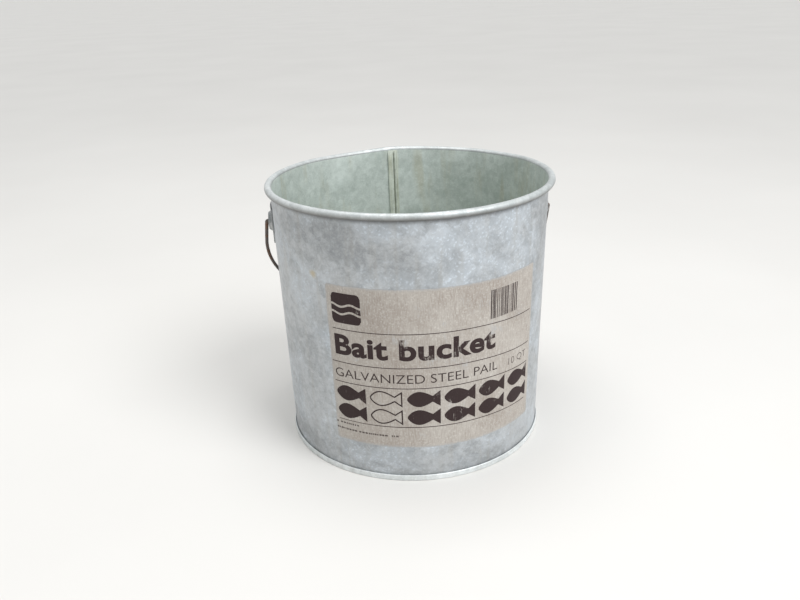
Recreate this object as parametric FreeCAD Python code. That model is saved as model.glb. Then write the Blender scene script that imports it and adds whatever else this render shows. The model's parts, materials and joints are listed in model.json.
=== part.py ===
"""Galvanised minnow pail: a tapered sheet-steel bucket with a wired rim and a wire bail.

The pail stands on the floor at z = 0 with its axis on Z. The lock seam of the side wall is at the
back, near +Y, the label is at the front, at -Y, and the two bail ears are at -X and +X. Millimetres.
"""
import FreeCAD, Part
import math
import os

V = FreeCAD.Vector
UP = V(0, 0, 1)
CENTRE = V(0, 0, 0)

# ---- driving dimensions ---------------------------------------------------------------------
height = 232.0            # floor to the top of the rim bead
mouth_r = 118.4           # outside of the side wall, measured at the height of the rim
taper = 4.7               # how much smaller that radius is at the floor
sheet_t = 0.55            # wall, bottom and curl are one gauge

# wired rim
rim_wire_d = 4.7
curl_turn = 318.0         # degrees of curl round the wire
rim_wire_break = 0.6      # the butt joint of the wire ring, measured along the ring
rim_wire_break_at = 60.0  # degrees, where that joint lies

# double seam at the foot
hem_h = 3.0               # height of the wall's turned-up hem, above its fold
hem_gap = 0.3             # air inside the fold of the hem
foot_corner_r = 0.7       # middle line of the two corners beside the flat foot
lip_r = 0.7               # middle line of the band's edge, rolled in over the hem
lip_turn = 80.0
pan_rise = 7.0            # inside bottom above the floor
pan_corner_r = 1.6

# lock seam
seam_w = 9.6              # width of the folded band
seam_fold_w = 4.9         # width of its thickest part, flush with the band at -X
seam_end_gap = 0.4        # seam stops this far above the inside bottom and below the curl
seam_shift = 3.5          # its middle is this far round from the back, towards -X

# bail and its ears
bail_wire_d = 3.0
hinge_drop = 34.0         # hinge axis below the top of the rim
bail_side_gap = 2.95      # side of the bail to the rim bead, where the bail is widest
bail_room = 58.3          # reach of the bail beyond the wall at the height of the hinge
bail_bend_r = 2.0         # middle line of the bend at each turned-in end
bail_rest_gap = 0.3       # wire to wall, with the bail fallen back
bail_head_d = 6.0
bail_head_t = 1.4
ear_t = 1.0
ear_boss_h = 3.8          # outer face of the boss above the wall
ear_boss_face_r = 7.2
ear_boss_root_r = 9.6
ear_boss_round = 1.0
ear_top_half_w = 18.0
ear_half_w = 20.0         # at the shoulders, the widest place
ear_foot_half_w = 9.0
ear_above = 15.0          # top edge above the hinge axis
ear_shoulder = 3.0        # shoulders below the axis
ear_below = 18.0          # foot below the axis
ear_corner_r = 4.0

# rivets
rivet_d = 3.2
rivet_head_d = 6.2
rivet_head_h = 1.5
rivet_tail_d = 5.6
rivet_tail_h = 0.8
rivet_spacing = 28.6      # along the wall, between the two of one ear

# label
label_t = 0.15
label_w = 187.0
label_h = 140.0
label_bottom = 32.0
label_shift = 11.3        # its middle is this far round to the right of the front

# clearances
seat_gap = 0.03           # between pieces that are pressed, folded or stuck together
run_gap = 0.10            # bail wire in its ear, radial
side_play = 0.30          # bail leg and bail head to the boss

# ---- values that follow ---------------------------------------------------------------------
slope = taper / height
tilt = math.degrees(math.atan(slope))
wall_in = V(-math.cos(math.radians(tilt)), 0, math.sin(math.radians(tilt)))  # towards the axis
wall_up = V(math.sin(math.radians(tilt)), 0, math.cos(math.radians(tilt)))
curl_r = rim_wire_d / 2 + seat_gap + sheet_t / 2     # middle line of the curled sheet
bead_r = curl_r + sheet_t / 2
hinge_z = height - hinge_drop
seam_layers = 3                                      # folded in beyond the wall itself


def wall_r(z):
    """Outside radius of the side wall at height z."""
    return mouth_r - slope * (height - z)


class Strip:
    """A bent strip of sheet, seen end-on in the X-Z plane and laid out along its middle line."""

    def __init__(self, start, heading, thickness):
        self.at, self.heading, self.half = start, heading, thickness / 2
        self.left, self.right = [], []

    def _side(self, heading):
        return V(-math.sin(math.radians(heading)), 0, math.cos(math.radians(heading)))

    def go(self, length):
        """Run straight on."""
        along = V(math.cos(math.radians(self.heading)), 0, math.sin(math.radians(self.heading)))
        offset = self._side(self.heading) * self.half
        end = self.at + along * length
        self.left.append(Part.makeLine(self.at + offset, end + offset))
        self.right.append(Part.makeLine(self.at - offset, end - offset))
        self.at = end
        return self

    def bend(self, turn, radius):
        """Turn left by a positive angle or right by a negative one, about the middle line."""
        sign = 1 if turn > 0 else -1
        centre = self.at + self._side(self.heading) * (sign * radius)
        for edges, half in ((self.left, self.half), (self.right, -self.half)):
            rays = [self._side(self.heading + turn * share) * -sign for share in (0, 0.5, 1)]
            points = [centre + ray * (radius - sign * half) for ray in rays]
            edges.append(Part.Arc(*points).toShape())
        self.at = centre + self._side(self.heading + turn) * (-sign * radius)
        self.heading += turn
        return self

    def face(self):
        """The section as a flat face."""
        def ends(edges):
            return edges[0].firstVertex().Point, edges[-1].lastVertex().Point
        (l0, l1), (r0, r1) = ends(self.left), ends(self.right)
        edges = self.left + [Part.makeLine(l1, r1)] + self.right + [Part.makeLine(l0, r0)]
        return Part.Face(Part.Wire(Part.sortEdges(edges)[0]))


def turned(face, first=0.0, sweep=360.0):
    """Turn a section in the X-Z plane about the pail's axis, from one azimuth on."""
    solid = face.revolve(CENTRE, UP, sweep)
    solid.rotate(CENTRE, UP, first)
    return solid


def wall_skin(inner, outer, z0, z1):
    """Section of a skin that follows the wall, between two distances out from its surface."""
    corners = [V(wall_r(z) + out, 0, z) for z, out in ((z0, inner), (z0, outer), (z1, outer), (z1, inner))]
    return Part.Face(Part.makePolygon(corners + corners[:1]))


def wall_core(z0, z1, out):
    """Everything within the wall's surface, or a little beyond it."""
    corners = [V(0, 0, z0), V(wall_r(z0) + out, 0, z0), V(wall_r(z1) + out, 0, z1), V(0, 0, z1)]
    return turned(Part.Face(Part.makePolygon(corners + corners[:1])))


def on_wall(shape, azimuth, z):
    """Stand a shape on the wall: its own +Z points out of the wall and its +X down it."""
    shape.rotate(CENTRE, V(0, 1, 0), 90 + tilt)
    shape.translate(V(wall_r(z), 0, z))
    shape.rotate(CENTRE, UP, azimuth)
    return shape


def smooth(shape):
    """Merge the faces that a boolean has split."""
    return shape.removeSplitter()


# ---- side wall, rim and foot ----------------------------------------------------------------
hem_r = (hem_gap + sheet_t) / 2                       # middle line of the fold at the foot
foot_floor = sheet_t + seat_gap                       # underside of the hem
wall_foot_z = foot_floor + hem_r + sheet_t / 2
wall_foot = V(wall_r(wall_foot_z), 0, wall_foot_z) + wall_in * (sheet_t / 2)
hem_top = wall_foot - wall_in * (2 * hem_r) + wall_up * hem_h
curl_z = height - bead_r                              # centre of the rim wire
wall_top_z = curl_z + (curl_r - sheet_t / 2) * wall_in.z
wall_run = (wall_top_z - wall_foot_z) / wall_up.z
curl_x = wall_r(wall_top_z) - wall_in.x * (curl_r - sheet_t / 2)
bead_out_r = curl_x + bead_r                          # the rim's outside radius


def rivet_azimuths():
    """Azimuths of the four rivets, with a name for each."""
    half = math.degrees(rivet_spacing / 2 / wall_r(hinge_z))
    return {"right_ear_rivet_front": -half, "right_ear_rivet_back": half,
            "left_ear_rivet_front": 180 + half, "left_ear_rivet_back": 180 - half}


def rivet_holes():
    """The cutters for the rivets' holes, through the ears and the wall."""
    reach = 2 * (ear_t + sheet_t)                    # each way from the wall's surface
    hole = Part.makeCylinder(rivet_d / 2 + seat_gap, 2 * reach, V(0, 0, -reach))
    return [on_wall(hole.copy(), azimuth, hinge_z) for azimuth in rivet_azimuths().values()]


def make_side_wall():
    """The rolled sheet: hem, wall and curl in one section, and the folded seam at the back."""
    strip = Strip(hem_top, -90 - tilt, sheet_t)
    strip.go(hem_h).bend(-180, hem_r).go(wall_run).bend(-curl_turn, curl_r)
    wall = turned(strip.face(), 90)
    seam_z0 = pan_rise + seam_end_gap
    seam_z1 = wall_top_z - bead_r - seam_end_gap
    flush = 90 + math.degrees((seam_w / 2 + seam_shift) / mouth_r)
    for width, layers in ((seam_w, seam_layers - 1), (seam_fold_w, seam_layers)):
        angle = math.degrees(width / mouth_r)
        fold = wall_skin(-(layers + 1) * sheet_t, -sheet_t / 2, seam_z0, seam_z1)
        wall = wall.fuse(turned(fold, flush - angle, angle))
    return smooth(wall.cut(rivet_holes()))


def make_rim_wire():
    """The ring in the curl, cut once and butted."""
    opening = math.degrees(rim_wire_break / curl_x)
    ring = Part.Face(Part.Wire(Part.makeCircle(rim_wire_d / 2, V(curl_x, 0, curl_z), V(0, 1, 0))))
    return turned(ring, rim_wire_break_at, 360 - opening)


def make_bottom_pan():
    """The set-in bottom: disc, skirt inside the wall, and the band turned up round the hem."""
    skirt_in = seat_gap + sheet_t * 1.5              # middle of the skirt, in from the wall's outside
    band_out = hem_gap + sheet_t * 1.5 + seat_gap    # middle of the band, out from it
    corner = V(wall_r(pan_rise), 0, pan_rise) + wall_in * skirt_in
    disc_z = pan_rise - sheet_t / 2
    turn_down, turn_up = 90 + tilt, 90 - tilt
    corner_run = pan_corner_r * math.tan(math.radians(turn_down / 2))
    disc_run = corner.x - slope * (pan_rise - disc_z) - corner_run
    skirt_run = (disc_z - sheet_t / 2) / wall_up.z
    foot_run = foot_corner_r * math.tan(math.radians(turn_down / 2))
    rise_run = foot_corner_r * math.tan(math.radians(turn_up / 2))
    strip = Strip(V(0, 0, disc_z), 0, sheet_t)
    strip.go(disc_run).bend(-turn_down, pan_corner_r).go(skirt_run - corner_run - foot_run)
    strip.bend(turn_down, foot_corner_r)
    strip.go((skirt_in + band_out) / wall_up.z - foot_run - rise_run)
    strip.bend(turn_up, foot_corner_r)
    strip.go((hem_top.z + seat_gap - strip.at.z) / wall_up.z).bend(lip_turn, lip_r)
    return turned(strip.face())


# ---- ears, rivets and bail ------------------------------------------------------------------
def ear_outline():
    """The plate's outline, seen along X: wide at the shoulders, narrow at its foot, corners rounded."""
    top, shoulder, foot = hinge_z + ear_above, hinge_z - ear_shoulder, hinge_z - ear_below
    half = [(ear_top_half_w, top), (ear_half_w, shoulder), (ear_foot_half_w, foot)]
    corners = [V(0, y, z) for y, z in half] + [V(0, -y, z) for y, z in reversed(half)]
    edges = []
    for i, corner in enumerate(corners):
        before, after = corners[i - 1] - corner, corners[(i + 1) % len(corners)] - corner
        cut = ear_corner_r / math.tan(before.getAngle(after) / 2)
        start, end = corner + before.normalize() * cut, corner + after.normalize() * cut
        inward = (before + after).normalize()
        centre = corner + inward * math.hypot(cut, ear_corner_r)
        edges.append(Part.Arc(start, centre - inward * ear_corner_r, end).toShape())
    joined = []
    for i, edge in enumerate(edges):
        joined += [edge, Part.makeLine(edge.lastVertex().Point,
                                       edges[(i + 1) % len(edges)].firstVertex().Point)]
    return Part.Face(Part.Wire(Part.sortEdges(joined)[0]))


def make_right_ear():
    """A pressed plate that follows the wall, with a hollow boss round the hinge axis."""
    face_x = wall_r(hinge_z) + ear_boss_h
    root_x = face_x - 2 * ear_boss_h
    draft = (ear_boss_root_r - ear_boss_face_r) / ear_boss_h
    margin = 2 * ear_t                               # the skin that is trimmed is this much larger all round
    low, high = hinge_z - ear_below - margin, hinge_z + ear_above + margin
    half_sweep = math.degrees(math.asin((ear_half_w + margin) / wall_r(low)))
    skin = turned(wall_skin(seat_gap, seat_gap + ear_t, low, high), -half_sweep, 2 * half_sweep)
    plate = skin.common(ear_outline().extrude(V(2 * mouth_r, 0, 0)))
    axis_at = V(root_x, 0, hinge_z)

    def cone(face_r, end_x):
        run = end_x - root_x
        return Part.makeCone(face_r + draft * run, face_r, run, axis_at, V(1, 0, 0))

    boss = cone(ear_boss_face_r, face_x)
    rim = [edge for edge in boss.Edges if edge.Closed and edge.BoundBox.XMin > face_x - ear_t]
    boss = boss.makeFillet(ear_boss_round, rim)
    hollow = cone(ear_boss_face_r - ear_t, face_x - ear_t)
    hole = Part.makeCylinder(bail_wire_d / 2 + run_gap, 3 * ear_boss_h, axis_at, V(1, 0, 0))
    ear = plate.fuse(boss).cut([hollow, hole, wall_core(low, high, seat_gap)] + rivet_holes())
    return smooth(ear)


def make_left_ear():
    """The same pressing, turned half round."""
    ear = make_right_ear()
    ear.rotate(CENTRE, UP, 180)
    return ear


def make_rivet(azimuth):
    """A round-headed rivet through ear and wall, closed by a flat tail inside the pail."""
    head_z = seat_gap * 2 + ear_t
    tail_z = -(sheet_t + 2 * seat_gap)
    ball_r = (rivet_head_d ** 2 / 4 + rivet_head_h ** 2) / (2 * rivet_head_h)
    ball = Part.makeSphere(ball_r, V(0, 0, head_z + rivet_head_h - ball_r))
    head = ball.common(Part.makeCylinder(rivet_head_d, rivet_head_h, V(0, 0, head_z)))
    shank_z = tail_z - rivet_tail_h / 2
    shank = Part.makeCylinder(rivet_d / 2, head_z - shank_z, V(0, 0, shank_z))
    tail_sag = (rivet_tail_d / 2) ** 2 / (2 * (wall_r(hinge_z) - sheet_t))
    tail = Part.makeCylinder(rivet_tail_d / 2, rivet_tail_h, V(0, 0, tail_z - tail_sag - rivet_tail_h))
    return on_wall(smooth(shank.fuse([head, tail])), azimuth, hinge_z)


def rod(start, end):
    """A straight run of the bail wire."""
    return Part.makeCylinder(bail_wire_d / 2, (end - start).Length, start, end - start)


def bent_rod(centre, start, turn):
    """A bent run of the bail wire, from one point round a centre; the wire lies in the X-Y plane."""
    ray = start - centre
    section = Part.makeCircle(bail_wire_d / 2, start, V(-ray.y, ray.x, 0))
    return Part.Face(Part.Wire(section)).revolve(centre, UP, turn)


def make_bail():
    """Half of the bail flat in the X-Y plane with the hinge axis on X, mirrored, then laid back.

    From the headed end the wire runs out along the axis, bends up into a straight leg that spreads a
    little, and runs into the large bow.
    """
    bow_r = bead_out_r + bail_side_gap + bail_wire_d / 2
    reach = wall_r(hinge_z) + bail_room
    bow_y = reach - bow_r
    leg_x = wall_r(hinge_z) + ear_boss_h + side_play + bail_wire_d / 2
    to_bow = math.hypot(leg_x, bow_y)
    angle = math.acos(bow_r / to_bow) - math.atan2(bow_y, leg_x)      # where the leg meets the bow
    leg_top = V(bow_r * math.cos(angle), bow_y + bow_r * math.sin(angle), 0)
    spread = math.degrees(-angle)                                     # of the leg, out from square
    cut = bail_bend_r * math.tan(math.radians(90 - spread) / 2)
    leg_line = (leg_top - V(leg_x, 0, 0)).normalize()
    bend_in, bend_out = V(leg_x - cut, 0, 0), V(leg_x, 0, 0) + leg_line * cut
    bend_centre = bend_in + V(0, bail_bend_r, 0)
    head_x = wall_r(hinge_z) + ear_boss_h - ear_t - side_play
    tip = V(head_x - bail_head_t, 0, 0)
    head = Part.makeCylinder(bail_head_d / 2, bail_head_t, tip, V(1, 0, 0))
    half = head.fuse([rod(tip, bend_in), bent_rod(bend_centre, bend_in, 90 - spread), rod(bend_out, leg_top),
                      bent_rod(V(0, bow_y, 0), leg_top, 90 - math.degrees(angle))])
    bail = smooth(half.fuse(half.mirror(CENTRE, V(1, 0, 0))))
    bail.rotate(CENTRE, V(1, 0, 0), -bail_fall(reach))
    bail.translate(V(0, 0, hinge_z))
    return bail


def bail_fall(reach):
    """Degrees below level at which the bail's bow comes to rest against the wall."""
    wire_out = (bail_wire_d / 2 + bail_rest_gap) / wall_up.z
    return tilt + math.degrees(math.acos((wall_r(hinge_z) + wire_out) / (reach * math.hypot(1, slope))))


# ---- label ----------------------------------------------------------------------------------
def make_label():
    """The thin sheet stuck round the front of the wall."""
    middle_r = wall_r(label_bottom + label_h / 2)
    width, shift = math.degrees(label_w / middle_r), math.degrees(label_shift / middle_r)
    sheet = wall_skin(seat_gap, seat_gap + label_t, label_bottom, label_bottom + label_h)
    return turned(sheet, shift - 90 - width / 2, width)


def main():
    """Make every piece, check it and write it."""
    os.makedirs("parts", exist_ok=True)
    pieces = {"side_wall": make_side_wall(), "rim_wire": make_rim_wire(), "bottom_pan": make_bottom_pan(),
              "left_ear": make_left_ear(), "right_ear": make_right_ear(), "bail": make_bail(),
              "label": make_label()}
    for name, azimuth in rivet_azimuths().items():
        pieces[name] = make_rivet(azimuth)
    for name, shape in pieces.items():
        if not shape.isValid() or len(shape.Solids) != 1:
            raise RuntimeError(f"{name}: not one valid solid")
        solid = shape.Solids[0]
        solid.exportStep(f"parts/{name}.step")
        box = solid.BoundBox
        print(f"{name:24s} {solid.Volume:10.1f} mm3  x {box.XMin:.2f} {box.XMax:.2f}"
              f"  y {box.YMin:.2f} {box.YMax:.2f}  z {box.ZMin:.2f} {box.ZMax:.2f}")
    print(f"rim outside radius {bead_out_r:.2f}, bail at rest {bail_fall(wall_r(hinge_z) + bail_room):.2f} deg"
          f" below level")


main()
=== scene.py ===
"""Looks of the galvanised minnow pail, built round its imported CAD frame.

Everything is in metres in the frame's own axes: the pail stands on the floor at z = 0 with its axis
on Z, its lock seam near +Y, its label at the front, at -Y, and its two bail ears at -X and +X.
Azimuths are in degrees from the front, positive towards +X.
"""
import json
import logging
import math
import random
from dataclasses import dataclass
from enum import Enum
from typing import Any, Callable, Iterable, Optional

import bmesh
import bpy
from bmesh.types import BMEdge, BMesh, BMFace, BMVert
from bpy.types import Node, NodeSocket, NodeTree
from mathutils import Matrix, Vector, noise


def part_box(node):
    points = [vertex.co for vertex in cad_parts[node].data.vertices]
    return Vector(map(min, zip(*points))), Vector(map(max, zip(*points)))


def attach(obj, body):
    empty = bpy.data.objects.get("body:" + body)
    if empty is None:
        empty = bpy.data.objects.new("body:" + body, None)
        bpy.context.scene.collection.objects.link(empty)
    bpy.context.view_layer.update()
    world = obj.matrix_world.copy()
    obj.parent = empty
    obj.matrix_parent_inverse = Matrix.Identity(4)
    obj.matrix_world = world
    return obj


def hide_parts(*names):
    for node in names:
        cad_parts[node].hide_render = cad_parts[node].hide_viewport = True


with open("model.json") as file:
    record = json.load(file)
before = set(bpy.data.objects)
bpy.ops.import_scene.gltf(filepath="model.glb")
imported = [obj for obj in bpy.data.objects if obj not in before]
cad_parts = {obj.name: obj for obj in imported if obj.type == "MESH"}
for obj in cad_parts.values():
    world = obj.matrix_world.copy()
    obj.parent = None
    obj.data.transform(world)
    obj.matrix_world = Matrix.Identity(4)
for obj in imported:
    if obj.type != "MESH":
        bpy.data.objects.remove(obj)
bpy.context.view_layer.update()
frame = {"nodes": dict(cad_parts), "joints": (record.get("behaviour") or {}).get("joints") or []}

MM = 0.001
CENTRE = Vector((0.0, 0.0, 0.0))
UPRIGHT = Vector((0.0, 0.0, 1.0))
MERGE = 1e-6                      # vertices nearer than this are one
HARD_EDGE = math.radians(38)      # edges sharper than this aren't shaded round
EDGE_LAYER = "inset"              # the label's own attribute: millimetres in from its edge
# settings that many nodes share
SMOOTH = {"interpolation_type": "SMOOTHSTEP"}
SCALE_ADD = {"operation": "MULTIPLY_ADD"}
SCALE_ADD_CLAMPED = {"operation": "MULTIPLY_ADD", "use_clamp": True}
BLEND = {"data_type": "RGBA"}
log = logging.getLogger("pail")


# ---- small helpers --------------------------------------------------------------------------
def from_hex(value: str) -> tuple[float, float, float, float]:
    """Turn an sRGB hex colour into linear RGBA.

    Args:
        value: six hex digits after a hash sign.

    Returns:
        The linear colour with alpha 1.
    """
    parts = [int(value[i:i + 2], 16) / 255 for i in (1, 3, 5)]
    red, green, blue = (c / 12.92 if c <= 0.04045 else ((c + 0.055) / 1.055) ** 2.4 for c in parts)
    return red, green, blue, 1.0


def per_metre(size_mm: float) -> float:
    """Pattern scale whose features are this many millimetres across."""
    return 1000.0 / size_mm


def eased(share: float) -> float:
    """Clamp a share to 0..1 and ease it at both ends."""
    share = min(1.0, max(0.0, share))
    return share * share * (3 - 2 * share)


def add_node(tree: NodeTree, kind: str, settings: Optional[dict[str, Any]] = None,
             sockets: Optional[dict[Any, Any]] = None) -> Node:
    """Add a node with its settings, values and links.

    Args:
        tree: the material's tree.
        kind: the node's type name, without the prefix that all shader nodes have.
        settings: attribute values of the node.
        sockets: for an input's name or number, its value, the output socket to link, or a node
            whose first live output is linked.

    Returns:
        The new node.
    """
    node = tree.nodes.new("ShaderNode" + kind)
    for key, value in (settings or {}).items():
        setattr(node, key, value)
    for key, value in (sockets or {}).items():
        if isinstance(value, Node):
            value = next(socket for socket in value.outputs if socket.enabled)
        if isinstance(value, NodeSocket):
            tree.links.new(value, node.inputs[key])
        else:
            node.inputs[key].default_value = value
    return node


def lay_over(tree: NodeTree, below: Node, colour: str, pattern: Any, start: float, full: float,
             most: float = 1.0) -> Node:
    """Lay a colour over another one where a pattern is strong.

    Args:
        tree: the material's tree.
        below: the node of the colour below.
        colour: the hex colour laid over it.
        pattern: the pattern's node or socket.
        start: the pattern's value where the colour starts.
        full: its value where the colour covers most.
        most: how much it covers there.

    Returns:
        The node of the new colour.
    """
    share = add_node(tree, "MapRange", SMOOTH,
                     {"Value": pattern, "From Min": start, "From Max": full, "To Max": most})
    return add_node(tree, "Mix", BLEND, {0: share, 6: below, 7: from_hex(colour)})


def link(thing: bpy.types.Object) -> bpy.types.Object:
    """Put an object in the scene and give it back."""
    bpy.context.scene.collection.objects.link(thing)
    return thing


def everything(shape: BMesh) -> list[Any]:
    """All vertices, edges and faces of a mesh."""
    return shape.verts[:] + shape.edges[:] + shape.faces[:]


def only(parts: Iterable[Any], kind: type) -> list[Any]:
    """The parts of one kind among an operator's results."""
    return [part for part in parts if isinstance(part, kind)]


def lay_grid(shape: BMesh, across: tuple[float, float], up: tuple[float, float],
             cuts: tuple[int, int]) -> None:
    """Add a flat rectangle that is cut into a grid.

    Args:
        shape: the mesh that gets it.
        across: its left and right sides.
        up: its bottom and top.
        cuts: how many faces it has across and up.
    """
    lay = Matrix.Translation((sum(across) / 2, sum(up) / 2, 0)) \
        @ Matrix.Diagonal(((across[1] - across[0]) / 2, (up[1] - up[0]) / 2, 1, 1))
    bmesh.ops.create_grid(shape, x_segments=cuts[0], y_segments=cuts[1], size=1.0, matrix=lay)


def raise_faces(shape: BMesh, faces: list[BMFace], rise: float, keep: bool) -> list[Any]:
    """Extrude faces as one region and lift the new ones.

    Args:
        shape: their mesh.
        faces: the faces.
        rise: how far up.
        keep: whether the old faces stay, as the underside of a solid.

    Returns:
        The lifted vertices, edges and faces.
    """
    grown = bmesh.ops.extrude_face_region(shape, geom=faces, use_keep_orig=keep)["geom"]
    bmesh.ops.translate(shape, verts=only(grown, BMVert), vec=UPRIGHT * rise)
    return grown


def tidy_faces(shape: BMesh, outward: Callable[[Vector], Vector]) -> None:
    """Merge doubles and turn the faces of an open or closed shape outwards.

    Args:
        shape: the mesh.
        outward: gives, for a face's centre, a direction that its normal has to share.
    """
    bmesh.ops.remove_doubles(shape, verts=shape.verts[:], dist=MERGE)
    bmesh.ops.recalc_face_normals(shape, faces=shape.faces[:])
    if sum(face.normal.dot(outward(face.calc_center_median())) for face in shape.faces) < 0:
        bmesh.ops.reverse_faces(shape, faces=shape.faces[:])


def turn_round(shape: BMesh, steps: int) -> None:
    """Spin everything in a mesh a full turn about Z and close it.

    Args:
        shape: the mesh, so far a line or a ring beside Z.
        steps: how many steps go round.
    """
    bmesh.ops.spin(shape, geom=shape.verts[:] + shape.edges[:], cent=CENTRE, axis=UPRIGHT,
                   dvec=CENTRE, angle=2 * math.pi, steps=steps, use_merge=True)
    bmesh.ops.remove_doubles(shape, verts=shape.verts[:], dist=MERGE)


def make_piece(name: str, shape: BMesh, body: str,
               finishes: Iterable["Finish"], stands_for: Iterable[str] = ()) -> bpy.types.Object:
    """Turn a bmesh into a piece of the object.

    Args:
        name: the piece's name.
        shape: its mesh in place; it is freed here.
        body: the CAD body it rides on.
        finishes: one finish for each material number of its faces.
        stands_for: the CAD nodes it replaces.

    Returns:
        The linked object.
    """
    mesh = bpy.data.meshes.new(name)
    for face in shape.faces:
        face.smooth = True
    shape.to_mesh(mesh)
    shape.free()
    for finish in finishes:
        mesh.materials.append(finish.material())
    mesh.set_sharp_from_angle(angle=HARD_EDGE)
    piece = link(bpy.data.objects.new(name, mesh))
    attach(piece, body)
    for node in stands_for:
        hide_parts(node)
    log.info("%s: %d faces, rides on %s", name, len(mesh.polygons), body)
    return piece


def add_thickness(piece: bpy.types.Object, thickness: float) -> None:
    """Give a middle surface its sheet thickness, with the next finish on its inner side.

    Args:
        piece: the piece, whose faces point outwards.
        thickness: the sheet's gauge.
    """
    skin = piece.modifiers.new("gauge", "SOLIDIFY")
    skin.thickness = thickness
    skin.offset = 0.0
    skin.use_even_offset = True
    skin.use_quality_normals = True
    skin.material_offset = 1


# ---- finishes -------------------------------------------------------------------------------
@dataclass(frozen=True)
class Finish:
    """A named finish that dresses a Principled shader."""

    name: str

    def material(self) -> bpy.types.Material:
        """The finish's material, made on first use.

        Returns:
            The material.
        """
        made = bpy.data.materials.get(self.name)
        if made is None:
            made = bpy.data.materials.new(self.name)
            made.use_nodes = True
            made.node_tree.nodes.clear()
            shader = add_node(made.node_tree, "BsdfPrincipled",
                              sockets=self.dress(made.node_tree))
            add_node(made.node_tree, "OutputMaterial", sockets={"Surface": shader})
        return made

    def dress(self, tree: NodeTree) -> dict[str, Any]:
        """Add the finish's nodes and give the shader's inputs, each a node or a value."""
        raise NotImplementedError


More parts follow.
